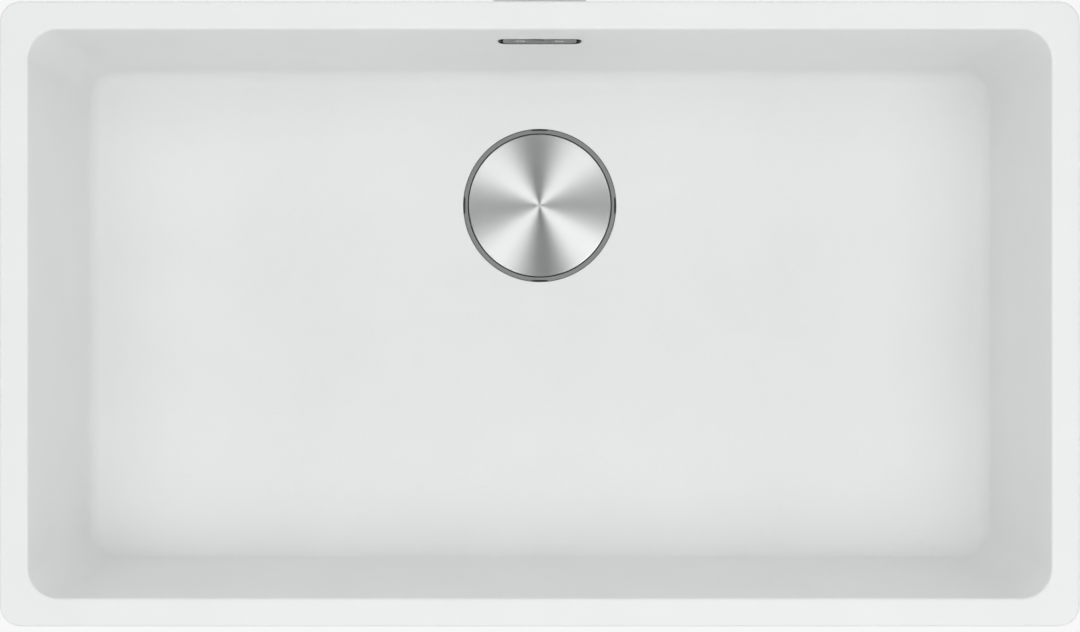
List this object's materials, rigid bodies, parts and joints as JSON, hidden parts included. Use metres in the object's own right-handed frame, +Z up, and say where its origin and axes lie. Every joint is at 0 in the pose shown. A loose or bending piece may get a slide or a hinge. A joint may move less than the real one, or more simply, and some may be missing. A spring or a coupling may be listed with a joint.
{
  "type": "kitchen sink",
  "caption": "Undermount single-bowl kitchen sink in white stone composite, with a lift-out basket-strainer waste under a round steel cover and a hose-linked wall overflow.",
  "frame": {"origin": "on the rim's top face, in the middle of the bowl's opening", "axes": "+X along the sink to the right, +Y to the back wall with the overflow, +Z up"},
  "size_m": [0.76, 0.4541, 0.3],
  "materials": {
    "composite": "matte",
    "brass": "satin",
    "black_rubber": "matte",
    "steel": "satin",
    "brushed_cover": "satin",
    "dark_plastic": "satin",
    "pale_plastic": "satin",
    "white_plastic": "satin",
    "hose_plastic": "satin"
  },
  "bodies": {
    "root": {"sink_bowl": "composite", "rim_inserts": "brass", "flange_seal": "black_rubber", "strainer_flange": "steel", "body_gasket": "black_rubber", "waste_body": "dark_plastic", "nut_carrier": "dark_plastic", "waste_outlet": "dark_plastic", "body_nut": "brass", "centre_screw": "steel", "stem_grip": "pale_plastic", "overflow_plate": "steel", "overflow_screws": "steel", "overflow_liner": "black_rubber", "overflow_gasket": "black_rubber", "overflow_housing": "white_plastic", "hose_washer_top": "black_rubber", "hose_nut_top": "white_plastic", "overflow_hose": "hose_plastic", "hose_nut_bottom": "white_plastic", "hose_washer_bottom": "black_rubber"},
    "basket": {"strainer_basket": "steel", "basket_stem": "steel", "basket_knob": "dark_plastic", "plug_washer": "steel", "plug_seal": "black_rubber", "stem_nut": "steel"},
    "cap": {"cap_disc": "brushed_cover", "cap_hub": "dark_plastic"}
  },
  "joints": [
    {"name": "basket_lift", "type": "slide", "parent": "root", "child": "basket", "axis": [0, 0, 1], "range_m": [0, 0.26]},
    {"name": "cap_lift", "type": "slide", "parent": "basket", "child": "cap", "axis": [0, 0, 1], "range_m": [0, 0.22]}
  ]
}
